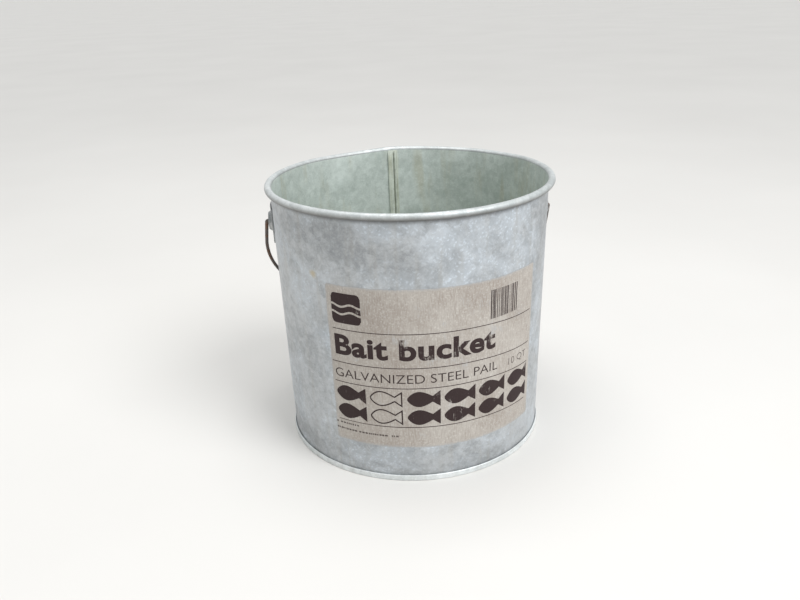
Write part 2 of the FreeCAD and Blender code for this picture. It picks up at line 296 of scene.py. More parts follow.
@dataclass(frozen=True)
class DullZinc(Finish):
    """Hot-dip galvanised sheet steel that has dulled: frozen zinc crystals under a grey patina.

    The eye gets a broken, satiny reflection that changes from crystal to crystal, cloudy patches of
    pale blue-white bloom, small bright flecks and long faint runs.
    """

    dark: str = "#95989a"
    light: str = "#bcbfc1"
    bloom: str = "#d9e2ea"
    stain: str = "#a09a8e"
    # colour of the painted shade under the bead and above the foot
    crevice_shade: str = "#4d4a47"
    rust: str = "#b39a55"
    drift_mm: float = 9.0             # the crystals' outlines wander over this length
    crystal_mm: float = 5.5           # spangle of thin dipped sheet
    mottle_mm: float = 5.0            # the patina starts at the crystals and is about as coarse
    grit_mm: float = 1.6
    cloud_mm: float = 62.0
    fleck_mm: float = 1.5
    run_mm: tuple[float, float] = (7.0, 90.0)   # width and length of the runs
    metallic: float = 0.62
    roughness: float = 0.46
    bloom_share: float = 0.42
    stain_share: float = 0.22
    relief: float = 0.08 * MM         # height of the crystals and grit
    spot: Optional[Vector] = None     # middle of a small rust spot
    spot_reach: float = 5.0 * MM
    # painted highlight: round this point the bloom is thicker and paler, partly zinc bloom, partly
    # the light falling brightest there
    bloom_highlight: Optional[Vector] = None  # middle of the palest patch
    bloom_highlight_reach: float = 95 * MM
    # where shade is painted, under the bead and above the foot: height, how far it reaches up and
    # down, and how strong it is
    shaded_crevices: tuple[tuple[float, float, float], ...] = ()

    def patina(self, tree: NodeTree, place: NodeSocket, bent: Node, facet: Node,
               grit: Node) -> Node:
        """The grey of the dulled zinc, uneven from crystal to crystal.

        Args:
            tree: the material's tree.
            place: Object coordinates.
            bent: the same, wandering a little.
            facet: three random values for each crystal.
            grit: fine noise.

        Returns:
            The colour's node.
        """
        cloud = add_node(tree, "TexNoise", sockets={
            "Vector": place, "Scale": per_metre(self.cloud_mm), "Detail": 5.0, "Roughness": 0.55,
            "Distortion": 0.6})
        mottle = add_node(tree, "TexNoise", sockets={
            "Vector": bent, "Scale": per_metre(self.mottle_mm), "Detail": 2.0, "Roughness": 0.5})
        tone = cloud
        for pattern, weight in ((facet, 0.16), (grit, 0.55), (mottle, 0.5)):
            tone = add_node(tree, "Math", SCALE_ADD, {0: pattern, 1: weight, 2: tone})
        tone = add_node(tree, "MapRange", SMOOTH,
                        {"Value": tone, "From Min": 0.78, "From Max": 1.43})
        return add_node(tree, "Mix", BLEND,
                        {0: tone, 6: from_hex(self.dark), 7: from_hex(self.light)})

    def bloom_haze(self, tree: NodeTree, place: NodeSocket) -> Node:
        """How thick the bloom is: zinc carbonate that lies in clouds and is coarse at its edges.

        Args:
            tree: the material's tree.
            place: Object coordinates.

        Returns:
            Its share's node.
        """
        haze = add_node(tree, "TexNoise", {"noise_dimensions": "4D"}, {
            "Vector": place, "W": 3.0, "Scale": per_metre(self.cloud_mm * 0.7), "Detail": 9.0,
            "Roughness": 0.66, "Distortion": 0.9})
        # painted highlight: more bloom near the point where the light falls brightest
        if self.bloom_highlight:
            away = add_node(tree, "VectorMath", {"operation": "DISTANCE"},
                            {0: place, 1: self.bloom_highlight})
            near = add_node(tree, "MapRange", SMOOTH,
                            {"Value": away, "From Min": self.bloom_highlight_reach, "From Max": 0.0,
                             "To Max": 0.11})
            haze = add_node(tree, "Math", {"operation": "ADD"}, {0: haze, 1: near})
        return add_node(tree, "MapRange", SMOOTH,
                        {"Value": haze, "From Min": 0.42, "From Max": 0.74,
                         "To Max": self.bloom_share})

    def flecked(self, tree: NodeTree, bent: Node, haze: Node, colour: Node) -> Node:
        """Add bright flecks where a crystal has stayed clean, most of them in the bloom.

        Args:
            tree: the material's tree.
            bent: Object coordinates, wandering a little.
            haze: the bloom's share.
            colour: the colour below.

        Returns:
            The new colour's node.
        """
        cell = add_node(tree, "TexVoronoi", {"feature": "F1"},
                        {"Vector": bent, "Scale": per_metre(self.fleck_mm)})
        lot = add_node(tree, "SeparateColor", sockets={0: cell.outputs["Color"]})
        fleck = add_node(tree, "MapRange", SMOOTH,
                         {"Value": lot.outputs[1], "From Min": 0.74, "From Max": 0.98,
                          "To Max": 1.0})
        gather = add_node(tree, "Math", SCALE_ADD, {0: haze, 1: 0.95, 2: 0.09})
        share = add_node(tree, "Math", {"operation": "MULTIPLY", "use_clamp": True},
                         {0: fleck, 1: gather})
        return add_node(tree, "Mix", BLEND, {0: share, 6: colour, 7: from_hex(self.bloom)})

    def dirty(self, tree: NodeTree, place: NodeSocket, bent: Node, colour: Node) -> Node:
        """Add the rust spot and the painted shade under the bead and above the foot.

        Args:
            tree: the material's tree.
            place: Object coordinates.
            bent: the same, wandering a little.
            colour: the colour below.

        Returns:
            The new colour's node.
        """
        if self.spot:
            away = add_node(tree, "VectorMath", {"operation": "DISTANCE"},
                            {0: bent, 1: self.spot + Vector((2 * MM,) * 3)})
            colour = lay_over(tree, colour, self.rust, away, self.spot_reach, 0.4 * MM, 0.5)
        level = add_node(tree, "SeparateXYZ", sockets={0: place})
        # painted shade: near each height the colour darkens towards the shade colour
        for height, reach, strength in self.shaded_crevices:
            above = add_node(tree, "Math", {"operation": "SUBTRACT"},
                             {0: level.outputs["Z"], 1: height})
            away = add_node(tree, "Math", {"operation": "ABSOLUTE"}, {0: above})
            colour = lay_over(tree, colour, self.crevice_shade, away, reach, 0.0, strength)
        return colour

    def dress(self, tree: NodeTree) -> dict[str, Any]:
        """Lay patina, bloom, runs, flecks, rust and painted shade and highlight over each other.

        Args:
            tree: the material's tree.

        Returns:
            The shader's inputs.
        """
        place = add_node(tree, "TexCoord").outputs["Object"]
        drift = add_node(tree, "TexNoise", sockets={
            "Vector": place, "Scale": per_metre(self.drift_mm), "Detail": 2.0})
        bent = add_node(tree, "VectorMath", SCALE_ADD,
                        {0: drift.outputs["Color"], 1: (4 * MM,) * 3, 2: place})
        crystal = add_node(tree, "TexVoronoi", {"feature": "F1"},
                           {"Vector": bent, "Scale": per_metre(self.crystal_mm)})
        facet = add_node(tree, "SeparateColor", sockets={0: crystal.outputs["Color"]})
        grit = add_node(tree, "TexNoise", sockets={
            "Vector": place, "Scale": per_metre(self.grit_mm), "Detail": 3.0, "Roughness": 0.7})
        haze = self.bloom_haze(tree, place)
        colour = add_node(tree, "Mix", BLEND, {
            0: haze, 6: self.patina(tree, place, bent, facet, grit), 7: from_hex(self.bloom)})
        wide, long = self.run_mm                 # dried water has run down in narrow lines
        drawn = add_node(tree, "Mapping", {"vector_type": "POINT"}, {
            "Vector": place, "Scale": (per_metre(wide), per_metre(wide), per_metre(long))})
        runs = add_node(tree, "TexNoise", sockets={"Vector": drawn, "Scale": 1.0, "Detail": 4.0})
        colour = lay_over(tree, colour, self.stain, runs, 0.50, 0.72, self.stain_share)
        colour = self.flecked(tree, bent, haze, colour)
        colour = self.dirty(tree, place, bent, colour)
        rough = add_node(tree, "Math", SCALE_ADD,
                         {0: facet.outputs["Blue"], 1: 0.12, 2: self.roughness - 0.06})
        rough = add_node(tree, "Math", SCALE_ADD_CLAMPED, {0: haze, 1: 0.30, 2: rough})
        metal = add_node(tree, "Math", SCALE_ADD_CLAMPED, {0: haze, 1: -0.45, 2: self.metallic})
        height = add_node(tree, "Math", SCALE_ADD, {0: facet.outputs["Green"], 1: 0.35, 2: grit})
        bump = add_node(tree, "Bump", sockets={
            "Strength": 0.5, "Distance": self.relief, "Height": height})
        return {"Base Color": colour, "Roughness": rough, "Metallic": metal, "Normal": bump}


@dataclass(frozen=True)
class RustedWire(Finish):
    """Drawn steel wire whose thin zinc has worn off: dark oxide with brown rust in patches."""

    oxide: str = "#5a5551"
    rust: str = "#6d503d"
    bare: str = "#898683"
    patch_mm: float = 9.0
    grain_mm: float = 0.9

    def dress(self, tree: NodeTree) -> dict[str, Any]:
        """Lay rust in patches over the oxide, and rub both bright in places.

        Args:
            tree: the material's tree.

        Returns:
            The shader's inputs.
        """
        place = add_node(tree, "TexCoord").outputs["Object"]
        patch = add_node(tree, "TexNoise", sockets={
            "Vector": place, "Scale": per_metre(self.patch_mm), "Detail": 6.0, "Roughness": 0.65})
        grain = add_node(tree, "TexNoise", sockets={
            "Vector": place, "Scale": per_metre(self.grain_mm), "Detail": 3.0})
        rusty = add_node(tree, "MapRange", SMOOTH,
                         {"Value": patch, "From Min": 0.45, "From Max": 0.62})
        colour = add_node(tree, "Mix", BLEND,
                          {0: rusty, 6: from_hex(self.oxide), 7: from_hex(self.rust)})
        colour = lay_over(tree, colour, self.bare, grain, 0.56, 0.74, 0.6)
        metal = add_node(tree, "MapRange",
                         sockets={"Value": rusty, "To Min": 0.8, "To Max": 0.25})
        rough = add_node(tree, "MapRange",
                         sockets={"Value": rusty, "To Min": 0.42, "To Max": 0.78})
        bump = add_node(tree, "Bump", sockets={
            "Strength": 0.6, "Distance": 0.06 * MM, "Height": grain})
        return {"Base Color": colour, "Roughness": rough, "Metallic": metal, "Normal": bump}


@dataclass(frozen=True)
class AgedPaper(Finish):
    """Uncoated paper label, soaked and dried many times: tan, fibrous and rubbed.

    The fibres run upright, and the eye gets fine upright threads of lighter and darker tan, with
    grey zinc showing where the sheet is rubbed thin.
    """

    pale: str = "#b3ada5"
    tan: str = "#938980"
    bare: str = "#a6a8a9"
    fleck: str = "#cfccc4"
    fibre_mm: tuple[float, float] = (0.8, 6.0)    # coarser than real fibres, so that they show
    cloud_mm: float = 48.0
    speck_mm: float = 1.5
    rub_mm: float = 20.0
    wear: tuple[float, float] = (0.58, 0.80)
    wear_shift: float = 0.17              # the fibres' part in what is rubbed through
    edge_wear_mm: float = 2.6             # how far in from its edges the sheet is rubbed thin
    relief: float = 0.05 * MM
    roughness: float = 0.72

    def fibres(self, tree: NodeTree, place: NodeSocket) -> Node:
        """The upright fibre pattern.

        Args:
            tree: the material's tree.
            place: Object coordinates.

        Returns:
            The pattern's node.
        """
        wide, long = self.fibre_mm
        drawn = add_node(tree, "Mapping", {"vector_type": "POINT"}, {
            "Vector": place, "Scale": (per_metre(wide), per_metre(wide), per_metre(long))})
        return add_node(tree, "TexNoise", sockets={
            "Vector": drawn, "Scale": 1.0, "Detail": 3.0, "Roughness": 0.6})

    def sheet_colour(self, tree: NodeTree, place: NodeSocket, fibre: Node) -> Node:
        """The paper's own colour: clouds and fibres of tan, with pale specks.

        Args:
            tree: the material's tree.
            place: Object coordinates.
            fibre: the fibre pattern.

        Returns:
            The colour's node.
        """
        cloud = add_node(tree, "TexNoise", sockets={
            "Vector": place, "Scale": per_metre(self.cloud_mm), "Detail": 8.0, "Roughness": 0.7})
        tone = add_node(tree, "Math", SCALE_ADD, {0: fibre, 1: 0.8, 2: cloud})
        tone = add_node(tree, "MapRange",
                        sockets={"Value": tone, "From Min": 0.66, "From Max": 1.12})
        sheet = add_node(tree, "Mix", BLEND,
                         {0: tone, 6: from_hex(self.tan), 7: from_hex(self.pale)})
        speck = add_node(tree, "TexNoise", sockets={
            "Vector": place, "Scale": per_metre(self.speck_mm), "Detail": 2.0})
        return lay_over(tree, sheet, self.fleck, speck, 0.50, 0.76, 0.40)

    def rubbed(self, tree: NodeTree, place: NodeSocket, fibre: Node) -> Node:
        """Where the surface is rubbed through, from 0 to 1.

        Args:
            tree: the material's tree.
            place: Object coordinates.
            fibre: the fibre pattern.

        Returns:
            The share's node.
        """
        patch = add_node(tree, "TexNoise", {"noise_dimensions": "4D"}, {
            "Vector": place, "W": 7.0, "Scale": per_metre(self.rub_mm), "Detail": 6.0,
            "Roughness": 0.7})
        both = add_node(tree, "Math", SCALE_ADD, {0: fibre, 1: 0.35, 2: patch})
        low, high = self.wear
        return add_node(tree, "MapRange", SMOOTH, {
            "Value": both, "From Min": low + self.wear_shift, "From Max": high + self.wear_shift})

    def face(self, tree: NodeTree, paper: Node, thin: Node, fibre: Node) -> Node:
        """What the eye sees on the paper: zinc where it is rubbed, most of all along its edges.

        Args:
            tree: the material's tree.
            paper: the paper's colour.
            thin: where it is rubbed.
            fibre: the fibre pattern.

        Returns:
            The colour's node.
        """
        inset = add_node(tree, "Attribute", {"attribute_name": EDGE_LAYER})
        ragged = add_node(tree, "Math", SCALE_ADD, {0: fibre, 1: 6.0, 2: inset.outputs["Fac"]})
        edge = add_node(tree, "MapRange", SMOOTH,
                        {"Value": ragged, "From Min": self.edge_wear_mm + 3.0, "From Max": 2.0,
                         "To Max": 0.8})
        thin = add_node(tree, "Math", {"operation": "MAXIMUM"}, {0: thin, 1: edge})
        return add_node(tree, "Mix", BLEND, {0: thin, 6: paper, 7: from_hex(self.bare)})

    def dress(self, tree: NodeTree) -> dict[str, Any]:
        """Add the nodes of the paper or of the ink on it.

        Args:
            tree: the material's tree.

        Returns:
            The shader's inputs.
        """
        place = add_node(tree, "TexCoord").outputs["Object"]
        fibre = self.fibres(tree, place)
        paper = self.sheet_colour(tree, place, fibre)
        colour = self.face(tree, paper, self.rubbed(tree, place, fibre), fibre)
        bump = add_node(tree, "Bump", sockets={
            "Strength": 0.4, "Distance": self.relief, "Height": fibre})
        return {"Base Color": colour, "Roughness": self.roughness, "Normal": bump}


@dataclass(frozen=True)
class WornInk(AgedPaper):
    """Flexographic ink on the paper label, faded to a dark brown and rubbed along the fibres."""

    ink: str = "#251214"
    wear: tuple[float, float] = (0.60, 0.72)
    cover: float = 0.97
    relief: float = 0.04 * MM
    roughness: float = 0.70

    def face(self, tree: NodeTree, paper: Node, thin: Node, fibre: Node) -> Node:
        """What the eye sees of the ink: the paper shows where the ink is rubbed.

        Args:
            tree: the material's tree.
            paper: the paper's colour.
            thin: where the ink is rubbed.
            fibre: the fibre pattern; not used.

        Returns:
            The colour's node.
        """
        bare = add_node(tree, "MapRange",
                        sockets={"Value": thin, "To Min": 1 - self.cover, "To Max": 0.75})
        return add_node(tree, "Mix", BLEND, {0: bare, 6: from_hex(self.ink), 7: paper})

    def dress(self, tree: NodeTree) -> dict[str, Any]:
        """The paper's inputs, with the ink's duller shine."""
        return {**super().dress(tree), "Specular IOR Level": 0.3}


@dataclass(frozen=True)
class PaleFloor(Finish):
    """Matt painted board, pale and even, with a trace of cloudiness from its roller."""

    pale: str = "#dcdad6"
    shade: str = "#d2d0cc"
    cloud_mm: float = 400.0

    def dress(self, tree: NodeTree) -> dict[str, Any]:
        """Add the board's nodes.

        Args:
            tree: the material's tree.

        Returns:
            The shader's inputs.
        """
        cloud = add_node(tree, "TexNoise", sockets={
            "Vector": add_node(tree, "TexCoord").outputs["Object"],
            "Scale": per_metre(self.cloud_mm), "Detail": 4.0})
        colour = add_node(tree, "Mix", BLEND,
                          {0: cloud, 6: from_hex(self.shade), 7: from_hex(self.pale)})
        return {"Base Color": colour, "Roughness": 0.8}


# ---- the wall's form ------------------------------------------------------------------------
@dataclass(frozen=True)
class WallForm:
    """The pail's cone, and how use has pushed it out of round."""

    height: float = 232.0 * MM
    mouth: float = 118.4 * MM                 # outside radius at the height of the rim
    taper: float = 4.7 * MM
    sheet: float = 0.55 * MM
    dent_reach: float = 60.0 * MM             # how far down a bent rim carries the wall with it
    ear_reach: float = 17.0 * MM              # the same above an ear, whose plate stiffens the wall
    ear_sector: tuple[float, float] = (11.0, 26.0)   # degrees from an ear: stiff, then free
    foot_stiff: float = 16.0 * MM             # the seamed foot keeps its circle up to here
    loose_above: float = 30.0 * MM            # and is free that much higher
    ripple: float = 0.28 * MM
    ripples_per_m: Vector = Vector((17.0, 17.0, 9.0))
    bead_h: float = 5.0 * MM                  # the bead moves as one with the rim
    # azimuth, then how far in and how far down the rim is bent there
    rim_bends: tuple[tuple[float, float, float], ...] = (
        (-178.3, 0.0, 0.0), (-153, 2.2, 1.5), (-129, 1.4, 0.9), (-90, 1.2, 0.6), (-45, 0.3, 0.3),
        (0, 0.0, 0.3), (60, 0.0, 0.1), (108, 0.0, 0.3), (128, 0.4, 1.0), (149, 0.5, 0.9),
        (181.7, 0.0, 0.0))
    # azimuth, height, depth and radius of shallow dents
    dents: tuple[tuple[float, float, float, float], ...] = (
        (-31, 205, 0.5, 17), (155, 118, 0.9, 24), (-122, 74, 0.8, 19), (63, 190, 0.4, 15),
        (121, 52, 0.6, 14), (-64, 120, 0.5, 26))

    @property
    def slope(self) -> float:
        """Change of radius for each metre of height."""
        return self.taper / self.height

    @property
    def tilt(self) -> float:
        """Lean of the wall in degrees."""
        return math.degrees(math.atan(self.slope))

    def radius(self, z: float) -> float:
        """Outside radius of the wall at a height."""
        return self.mouth - self.slope * (self.height - z)

    def place(self, azimuth: float, z: float, out: float = 0.0) -> Vector:
        """A point on the wall, or a little out from it.

        Args:
            azimuth: degrees from the front.
            z: height.
            out: distance out from the wall's outside.

        Returns:
            The point.
        """
        turn = math.radians(azimuth)
        radius = self.radius(z) + out
        return Vector((radius * math.sin(turn), -radius * math.cos(turn), z))

    def rim_bend(self, azimuth: float) -> tuple[float, float]:
        """How far in and how far down the rim is bent at an azimuth.

        Args:
            azimuth: degrees from the front.

        Returns:
            Both distances, in metres.
        """
        first, last = self.rim_bends[0][0], self.rim_bends[-1][0]
        if azimuth < first:
            azimuth += 360
        for (a0, in0, down0), (a1, in1, down1) in zip(self.rim_bends, self.rim_bends[1:]):
            if azimuth <= a1:
                share = (azimuth - a0) / (a1 - a0)
                if a0 == first:                   # the stiff seam leaves a corner in the rim
                    share = math.sin(share * math.pi / 2)
                elif a1 == last:
                    share = 1 - math.cos(share * math.pi / 2)
                else:
                    share = eased(share)
                return (in0 + (in1 - in0) * share) * MM, (down0 + (down1 - down0) * share) * MM
        return 0.0, 0.0

    def aged(self, point: Vector) -> Vector:
        """Where a point of the round pail has gone on the used one.

        Args:
            point: a point on or near the wall.

        Returns:
            The moved point; it only ever moves inwards and down.
        """
        radius = math.hypot(point.x, point.y)
        if radius < self.mouth / 2:
            return point.copy()
        azimuth = math.degrees(math.atan2(point.x, -point.y))
        stiff, free = self.ear_sector
        freedom = eased((abs(abs(azimuth) - 90) - stiff) / (free - stiff))
        reach = self.ear_reach + (self.dent_reach - self.ear_reach) * freedom
        share = eased(1 - (self.height - self.bead_h - point.z) / reach)
        inward, down = (part * share for part in self.rim_bend(azimuth))
        loose = freedom * eased((point.z - self.foot_stiff) / self.loose_above) * (1 - share)
        wave = noise.noise(point * self.ripples_per_m)
        inward += self.ripple * (0.5 + wave) * loose
        for dent_azimuth, dent_z, depth, size in self.dents:
            gap = (point - self.place(dent_azimuth, dent_z * MM)).length / (size * MM)
            inward += depth * MM * math.exp(-2 * gap * gap) * loose
        factor = (radius - inward) / radius
        return Vector((point.x * factor, point.y * factor, point.z - down))

    def age(self, shape: BMesh) -> None:
        """Move every vertex of a mesh to where it is on the used pail."""
        for vert in shape.verts:
            vert.co = self.aged(vert.co)


WALL = WallForm()


class SheetLine:
    """The middle line of a bent sheet, grown vertex by vertex in the X-Z plane."""

    def __init__(self, shape: BMesh, start: Vector, heading: float) -> None:
        """Start the line.

        Args:
            shape: the mesh that it grows in.
            start: its first point.
            heading: its first direction in degrees, from +X towards +Z.
        """
        self.shape, self.heading = shape, heading
        self.tip = shape.verts.new(start)

    def grow(self) -> BMVert:
        """Extrude the tip, still in place."""
        return bmesh.ops.extrude_vert_indiv(self.shape, verts=[self.tip])["verts"][0]

    def face(self, heading: float) -> "SheetLine":
        """Turn on the spot to a heading."""
        self.heading = heading
        return self

    def run(self, length: float, cuts: int = 1) -> "SheetLine":
        """Run straight on.

        Args:
            length: how far.
            cuts: in how many steps.

        Returns:
            The line.
        """
        turn = math.radians(self.heading)
        step = Vector((math.cos(turn), 0, math.sin(turn))) * (length / cuts)
        for _ in range(cuts):
            self.tip = self.grow()
            bmesh.ops.translate(self.shape, verts=[self.tip], vec=step)
        return self

    def bend(self, degrees: float, radius: float, cuts: int) -> "SheetLine":
        """Bend the line along an arc.

        Args:
            degrees: how far it turns, positive to the left.
            radius: the arc's radius, at the sheet's middle.
            cuts: in how many steps.

        Returns:
            The line.
        """
        turn = math.radians(self.heading)
        side = Vector((-math.sin(turn), 0, math.cos(turn)))
        centre = self.tip.co + side * math.copysign(radius, degrees)
        spin = Matrix.Rotation(-math.radians(degrees / cuts), 3, "Y")
        for _ in range(cuts):
            self.tip = self.grow()
            bmesh.ops.rotate(self.shape, verts=[self.tip], cent=centre, matrix=spin)
        self.heading += degrees
        return self


# ---- finishes of this pail ------------------------------------------------------------------
# painted highlight: paler bloom round the upper right, where the key light falls brightest
# painted shade on the outside: darker bands just under the bead and just above the foot
OUTSIDE = DullZinc("dulled galvanised sheet, outside", bloom_highlight=WALL.place(24, 196 * MM),
                   spot=WALL.place(-46.7, 176 * MM),
                   shaded_crevices=((226.0 * MM, 4.4 * MM, 0.78), (6.4 * MM, 1.2 * MM, 0.12)))
INSIDE = DullZinc("galvanised sheet stained by water, inside", dark="#abb4ad", light="#cdd4ce",
                  bloom="#d8e0db", stain="#b0ab90", run_mm=(11.0, 75.0), stain_share=0.40,
                  bloom_share=0.36, roughness=0.55, metallic=0.40)
# paler copy of the zinc for the bead: partly rubbed wear, partly painted highlight; its band paints
# the shade under the bead
BEAD_WEAR_AND_HIGHLIGHT = DullZinc("galvanised bead, rubbed bright", dark="#acb1b0", light="#cccfce",
                  bloom="#dfe3e2", roughness=0.50, metallic=0.5, bloom_share=0.3,
                  stain_share=0.10, relief=0.03 * MM, shaded_crevices=((226.2 * MM, 4.6 * MM, 0.80),))
# paler copy of the zinc for the pan's outside and foot band: partly rubbed wear, partly painted
# highlight
FOOT_WEAR_AND_HIGHLIGHT = DullZinc("galvanised foot band, rubbed", dark="#c4c8c7", light="#e2e5e4", bloom="#e9ecec",
                roughness=0.42, metallic=0.30, bloom_share=0.4, stain_share=0.18, relief=0.04 * MM)
SEAM = DullZinc("galvanised lock seam, weeping", dark="#a9aea3", light="#cfd5c8", bloom="#d9dfd4",
                stain="#a5a380", run_mm=(1.6, 40.0), stain_share=0.5, roughness=0.55, metallic=0.40)
GROOVE = DullZinc("galvanised lock seam, dirty groove", dark="#777a76", light="#999c97",
                  bloom="#a3a5a5", stain="#77716a", run_mm=(1.2, 30.0), stain_share=0.5)
PRESSED = DullZinc("pressed galvanised ear", dark="#7a7d7d", light="#aaadad", bloom="#c0c5c6",
                   roughness=0.42, metallic=0.75, crystal_mm=3.5, cloud_mm=24.0)
RIVET = DullZinc("tinned rivet, dulled", dark="#8b8c8b", light="#cccdcc", bloom="#d6d8d8",
                 roughness=0.32, metallic=0.85, crystal_mm=2.0, cloud_mm=9.0, relief=0.04 * MM)
CORE = DullZinc("galvanised rim wire", dark="#7c7f7f", light="#a9acac", crystal_mm=1.8)
WIRE = RustedWire("drawn wire, zinc worn off")
PAPER = AgedPaper("uncoated paper label, aged")
INK = WornInk("label ink, faded brown")
FAINT_INK = WornInk("label ink, nearly rubbed away", cover=0.78, wear=(0.54, 0.70))


# material numbers of the wall's outer faces; the finish of the inner side comes next to each
PLAIN, BEAD, SEAM_LINE = 0, 2, 4
WALL_FINISHES = (OUTSIDE, INSIDE, OUTSIDE, BEAD_WEAR_AND_HIGHLIGHT, GROOVE, INSIDE)


# ---- side wall, rim and seam ----------------------------------------------------------------
@dataclass
class SheetBody:
    """The rolled side wall with its hem and wired curl, the wire, and the folded seam inside."""

    round_steps: int = 288
    wire_d: float = 4.7 * MM
    seat_gap: float = 0.03 * MM
    curl_turn: float = 318.0
    hem_h: float = 3.0 * MM
    hem_gap: float = 0.3 * MM
    seam_w: float = 9.6 * MM
    seam_fold_w: float = 4.9 * MM
    seam_low: float = 7.4 * MM
    seam_shift: float = 3.5 * MM         # its middle is this far round from the back, towards -X
    seam_crease: float = 3.2 * MM        # a buried fold shows as a line this far from the step
    seam_crease_half: float = 0.45 * MM
    seam_crease_h: float = 0.4 * MM
    seam_round: float = 0.26 * MM
    seam_fade: float = 3.0 * MM          # its top is pressed flat into the bead over this height
    seam_sunk: float = 0.3 * MM          # it starts inside the wall's metal
    seam_wander: float = 0.25 * MM
    groove_depth: float = 0.32 * MM      # the line that the seam leaves outside
    groove_half: float = 0.55 * MM
    bead_line: float = 0.3 * MM          # the bead's finish starts this far below the wall's top
    bead_out: float = 0.6 * MM           # or this far out from the wall

    def __post_init__(self) -> None:
        """Work out the places that hem, wall and curl share."""
        lean = math.radians(WALL.tilt)
        self.inward = Vector((-math.cos(lean), 0, math.sin(lean)))
        self.upward = Vector((math.sin(lean), 0, math.cos(lean)))
        self.curl_r = self.wire_d / 2 + self.seat_gap + WALL.sheet / 2
        self.hem_r = (self.hem_gap + WALL.sheet) / 2
        foot_z = WALL.sheet + self.seat_gap + self.hem_r + WALL.sheet / 2
        self.foot = Vector((WALL.radius(foot_z), 0, foot_z)) + self.inward * (WALL.sheet / 2)
        self.hem_top = self.foot - self.inward * (2 * self.hem_r) + self.upward * self.hem_h
        self.curl_z = WALL.height - self.curl_r - WALL.sheet / 2
        self.wall_top = self.curl_z + (self.curl_r - WALL.sheet / 2) * self.inward.z
        self.curl_x = WALL.radius(self.wall_top) - self.inward.x * (self.curl_r - WALL.sheet / 2)

    def make_wall(self) -> None:
        """Roll the sheet: hem, wall and curl in one line, turned round and given its gauge."""
        shape = bmesh.new()
        line = SheetLine(shape, self.hem_top, -90 - WALL.tilt)
        line.run(self.hem_h, 2).bend(-180, self.hem_r, 6)
        line.run((self.wall_top - self.foot.z) / self.upward.z, 32)
        line.bend(-self.curl_turn, self.curl_r, 24)
        turn_round(shape, self.round_steps)
        near = 4 * MM
        for side in (-1, 1):                     # a narrow strip at the seam, for its groove
            strip = [f for f in shape.faces if f.calc_center_median().y > 0
                     and abs(f.calc_center_median().x) < near]
            parts = dict.fromkeys([*strip, *(e for f in strip for e in f.edges),
                                   *(v for f in strip for v in f.verts)])
            bmesh.ops.bisect_plane(shape, geom=list(parts), dist=MERGE / 10,
                                   plane_co=(side * self.groove_half, 0, 0), plane_no=(1, 0, 0))
        tidy_faces(shape, lambda p: Vector((p.x, p.y, 0)) if p.z < self.wall_top - 3 * MM
                   else CENTRE)
        for face in shape.faces:
            face.material_index = self.finish_at(face.calc_center_median())
        for vert in shape.verts:
            if abs(vert.co.x) < 0.1 * MM and vert.co.y > 0 and 5 * MM < vert.co.z < self.wall_top:
                vert.co.y -= self.groove_depth
        bmesh.ops.rotate(shape, verts=shape.verts[:], cent=CENTRE,
                         matrix=Matrix.Rotation(self.seam_shift / WALL.mouth, 3, "Z"))
        WALL.age(shape)
        piece = make_piece("wall", shape, "pail", WALL_FINISHES, ("side_wall",))
        add_thickness(piece, WALL.sheet)

    def finish_at(self, middle: Vector) -> int:
        """Which finish a face of the turned wall gets.

        Args:
            middle: the face's middle, before the seam is shifted from +Y.

        Returns:
            The material number of its outer side.
        """
        below_bead = middle.z < self.wall_top - self.bead_line
        at_back = middle.y > WALL.radius(0) - 3 * WALL.sheet
        if below_bead and at_back and abs(middle.x) < self.groove_half:
            return SEAM_LINE
        out = math.hypot(*middle.xy) - WALL.radius(self.curl_z)
        return PLAIN if below_bead and out <= self.bead_out else BEAD

    def make_wire(self) -> None:
        """The ring in the curl, seen only in the slit under the bead."""
        shape = bmesh.new()
        lay = Matrix.Translation((self.curl_x, 0, self.curl_z)) \
            @ Matrix.Rotation(math.pi / 2, 4, "X")
        bmesh.ops.create_circle(shape, cap_ends=False, segments=16, radius=self.wire_d / 2,
                                matrix=lay)
        turn_round(shape, self.round_steps)
        tidy_faces(shape, lambda p: p - Vector((p.x, p.y, 0)).normalized() * self.curl_x
                   - Vector((0, 0, self.curl_z)))
        WALL.age(shape)
        make_piece("wire_ring", shape, "pail", (CORE,), ("rim_wire",))

